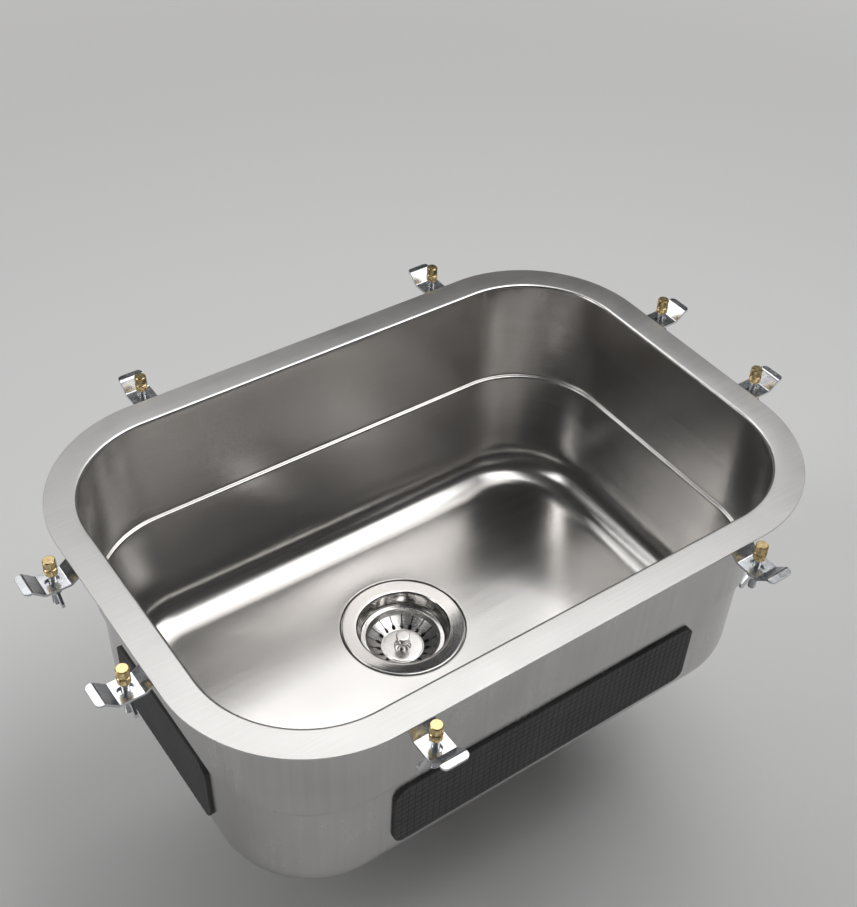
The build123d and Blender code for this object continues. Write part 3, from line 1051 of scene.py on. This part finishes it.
def turned_brass():
    """Bar brass from the lathe: yellow, bright, with fine rings and a little tarnish."""
    material, start = bare("turned_brass")
    rings = turned_lines(start, 0.25 * mm)
    tarnish = blots(start, 4 * mm, 4)
    bump = start.node("Bump", {}, {"Strength": 0.4, "Distance": 0.02 * mm, "Height": rings})
    surface(
        start,
        {
            "Base Color": tone(
                start, tarnish * 1.4 + 0.5, (0.50, 0.37, 0.17, 1), (0.74, 0.59, 0.33, 1)
            ),
            "Metallic": 1,
            "Roughness": 0.26 + tarnish * 0.2 + rings * 0.1,
            "Normal": bump,
        },
    )
    return material


def dress(material, *names):
    """Gives CAD pieces their finish."""
    for name in names:
        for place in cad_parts[name].material_slots:
            place.material = material


turned_steel = waste_steel("turned_rod", 0.22, 0.25 * mm, 0.02 * mm)
stem_line = profile(
    (0, screw_top, 0),
    (screw_radius, screw_top, 0.3),
    (screw_radius, knob_bottom, 0),
    (stem_radius, knob_bottom, 0.2),
    (stem_radius, plate_end, 0),
    (clip_groove, plate_end, 0),
    (clip_groove, clip_end, 0),
    (stem_radius, clip_end, 0.2),
    (stem_radius, detent - 1.5, 0.5),
    (stem_radius - 0.6, detent, 0.8),
    (stem_radius, detent + 1.5, 0.5),
    (stem_radius, stem_end, 1.6),
    (0, stem_end, 0),
    closed=False,
)
turning("stem_rod", "stem", "turned_steel", turned_steel, "basket_stem", stem_line)
brass = turned_brass()
collar_line = washer(stem_radius, 8, collar_top, stopper_top, 0.4)
turning("collar_ring", "stem", "turned_brass", brass, "stem_collar", collar_line)
stopper_line = profile(
    (stem_radius, stopper_top, 0),
    (11, stopper_top, 1),
    (lip_radius, lip_end - 1.8, 0.8),
    (lip_radius, lip_end, 0.3),
    (lip_radius - 4, lip_end, 0.5),
    (12, stopper_end, 1),
    (stem_radius, stopper_end, 0),
)
turning("stopper_bell", "stem", "seal_rubber", rubber, "stopper", stopper_line)
plate_line = washer(stem_radius, 9, stopper_end, plate_end, 0.2)
turning("stopper_washer", "stem", "turned_steel", turned_steel, "stopper_plate", plate_line)
dress(turned_steel, "stem_clip")
bush_head = hub_radius - 0.5
bush_top = seat_depth - 0.8
bush_line = profile(
    (shell_hole, bush_top, 0.2),
    (bush_head, bush_top, 0.3),
    (bush_head, seat_depth, 0),
    (hub_bore, seat_depth, 0),
    (hub_bore, hub_end + 1, 0.3),
    (shell_hole, hub_end + 1, 0.3),
)
turning("bush_moulding", "sink", "bush_plastic", plastic, "guide_bush", bush_line)

# Fixing clips
# Eight bent strips of zinc plated steel that hold the flange up from below. Each hangs on a
# threaded stud with a washer and a wing nut, and the stud screws up into a brass anchor.

stud_radius = 3 * mm
stud_foot_radius = 2.2 * mm
stud_head_radius = 2.6 * mm
thread_root = 2.4 * mm
thread_pitch = 1 * mm
stud_bottom = -32 * mm
stud_top = 6.3 * mm
stud_out = 15 * mm
anchor_radius = 5 * mm
knurls = 36
knurl_depth = 0.35 * mm
around_stud = 20
half_length = opening_length / 2 + flange_width
half_width = opening_width / 2 + flange_width
studs_x = 150 * mm
studs_y = 60 * mm
stud_places = [
    (x, side * (half_width + stud_out)) for side in (-1, 1) for x in (-studs_x, studs_x)
]
stud_places += [
    (side * (half_length + stud_out), y) for side in (-1, 1) for y in (-studs_y, studs_y)
]


def stud_form():
    """One stud: a thread that winds up from its chamfered end, as points and faces."""
    crests = [(0, stud_radius), (0.15, stud_radius), (0.45, thread_root), (0.7, thread_root)]
    rows = math.ceil((stud_top - stud_bottom) / thread_pitch + 2) * len(crests)
    points = []
    for row in range(rows):
        turn, phase = divmod(row, len(crests))
        share, radius = crests[phase]
        for step in range(around_stud):
            height = stud_bottom + (turn + share - 1 + step / around_stud) * thread_pitch
            height = min(max(height, stud_bottom), stud_top)
            at_foot = stud_foot_radius + height - stud_bottom
            at_head = stud_head_radius + stud_top - height
            reach = min(radius, at_foot, at_head)
            angle = math.tau * step / around_stud
            points.append((math.cos(angle) * reach, math.sin(angle) * reach, height))
    faces = []
    for row in range(rows - len(crests) - 1):
        for step in range(around_stud):
            corner = row * around_stud + step
            beside = corner + 1
            if step == around_stud - 1:
                beside = (row + len(crests)) * around_stud
            faces.append((corner, beside, beside + around_stud, corner + around_stud))
    faces.append(range(around_stud))
    return points, faces


def anchor_form():
    """One anchor, from levels of (height, wider by, knurled): two knurled bands and a waist."""
    levels = [(0, -0.5, 0), (0.5, 0, 0), (1, 0, 0), (1.4, 0, 1), (5.6, 0, 1), (6, 0, 0)]
    levels += [(6.4, -0.6, 0), (7.6, -0.6, 0), (8, 0, 0), (8.4, 0, 1), (13, 0, 1), (13.5, -0.2, 0)]
    levels += [(14, -0.8, 0)]
    count = 2 * knurls
    points = []
    for height, wider, knurled in levels:
        for step in range(count):
            cut = knurl_depth * knurled * (step % 2)
            reach = anchor_radius + wider * mm - cut
            angle = math.tau * step / count
            points.append((math.cos(angle) * reach, math.sin(angle) * reach, height * mm))
    faces = []
    for row in range(len(levels) - 1):
        for step in range(count):
            corner = row * count + step
            beside = row * count + (step + 1) % count
            faces.append((corner, beside, beside + count, corner + count))
    faces.append(range((len(levels) - 1) * count, len(levels) * count))
    bottom = len(points)
    for step in range(count):
        angle = math.tau * step / count
        points.append((math.cos(angle) * stud_radius, math.sin(angle) * stud_radius, 0))
    for step in range(count):
        following = (step + 1) % count
        faces.append((following, step, bottom + step, bottom + following))
    return points, faces


def eightfold(name, slot, material, node, form):
    """Eight copies of a form, one at each stud's place, as one piece."""
    points, faces = form
    all_points = []
    all_faces = []
    for x, y in stud_places:
        first = len(all_points)
        all_points += [Vector(point) + Vector((x, y, 0)) for point in points]
        all_faces += [[first + number for number in face] for face in faces]
    made = meshed(name, all_points, all_faces)
    made.data.materials.append(material)
    fitted(made, "sink", slot, node)


def zinc_plate():
    """Bright zinc: pale and bluish, mottled, with duller patches where it was handled."""
    material, start = bare("zinc_plate")
    mottle = blots(start, 3 * mm, 4)
    dull = blots(start, 11 * mm, 4)
    soft = softened(start, 0.35 * mm)
    bump = start.node(
        "Bump", {}, {"Strength": 0.3, "Distance": 0.03 * mm, "Height": mottle, "Normal": soft}
    )
    surface(
        start,
        {
            "Base Color": tone(start, mottle + 0.5, (0.52, 0.54, 0.57, 1), (0.70, 0.71, 0.72, 1)),
            "Metallic": 1,
            "Roughness": 0.22 + dull * 0.25 + mottle * 0.1,
            "Normal": bump,
        },
    )
    return material


zinc = zinc_plate()
brackets = ["clip_bracket_" + str(number) for number in range(1, 9)]
dress(zinc, *brackets, "clip_washers", "clip_wing_nuts")
eightfold("threaded_studs", "zinc_steel", zinc, "clip_studs", stud_form())
eightfold("knurled_anchors", "turned_brass", brass, "stud_anchors", anchor_form())

# Studio
# A plain pale floor under the outlet, which fades into pale light at the sides. The light is
# dim from above, and four soft lamps face the bowl.

floor_reach = 4
fade_start = 0.9
fade_end = 2.6
side_light = (0.58, 0.575, 0.57, 1)
top_light = (0.05, 0.05, 0.051, 1)
floor_height = cad_box[0][2]
corners = [(-floor_reach, -floor_reach), (floor_reach, -floor_reach)]
corners += [(floor_reach, floor_reach), (-floor_reach, floor_reach)]
floor_mesh = bpy.data.meshes.new("studio_floor")
floor_mesh.from_pydata([(x, y, floor_height) for x, y in corners], [], [(0, 1, 2, 3)])
studio_floor = bpy.data.objects.new("studio_floor", floor_mesh)
bpy.context.scene.collection.objects.link(studio_floor)
floor_paper, floor_start = bare("floor_paper")
paper = floor_start.node(
    "BsdfPrincipled", {}, {"Base Color": (0.86, 0.855, 0.85, 1), "Roughness": 0.9}
)
clear = floor_start.node("BsdfTransparent", {}, {})
floor_place = floor_start.node("TexCoord", {}, {}, "Object")
from_sink = floor_start.node("VectorMath", {"operation": "LENGTH"}, {0: floor_place}, 1)
fade = floor_start.node(
    "MapRange", {"interpolation_type": "SMOOTHSTEP"}, {0: from_sink, 1: fade_start, 2: fade_end}
)
faded = floor_start.node("MixShader", {}, {0: fade, 1: paper, 2: clear})
floor_start.node("OutputMaterial", {}, {"Surface": faded})
floor_mesh.materials.append(floor_paper)

studio = bpy.data.worlds.new("studio")
studio.use_nodes = True
studio.node_tree.nodes.clear()
sky_start = Shade(studio.node_tree)
sky_way = sky_start.node("TexCoord", {}, {}, "Generated")
climb = sky_start.node("SeparateXYZ", {}, {0: sky_way}, "Z")
dimming = sky_start.node(
    "MapRange", {"interpolation_type": "SMOOTHSTEP"}, {0: climb, 1: 0.05, 2: 0.22}
)
sky = tone(sky_start, dimming, side_light, top_light)
glow = sky_start.node("Background", {}, {"Color": sky})
sky_start.node("OutputWorld", {}, {"Surface": glow})
bpy.context.scene.world = studio


def softbox(name, place, width, height, power):
    """A flat lamp that faces the bowl."""
    lamp_data = bpy.data.lights.new(name, "AREA")
    lamp_data.shape = "RECTANGLE"
    lamp_data.size = width
    lamp_data.size_y = height
    lamp_data.energy = power
    lamp = bpy.data.objects.new(name, lamp_data)
    lamp.location = place
    lamp.rotation_euler = (-Vector(place)).to_track_quat("-Z", "Y").to_euler()
    bpy.context.scene.collection.objects.link(lamp)


softbox("overhead", (0.9, -0.3, 2.1), 1.6, 1.8, 28)
softbox("behind", (0.64, 1.35, 2.16), 2.4, 0.6, 15)
softbox("back_left", (-0.78, 1.46, 1.6), 0.7, 0.5, 3.5)
softbox("left", (-1.56, 0.63, 1.41), 0.5, 1, 8)
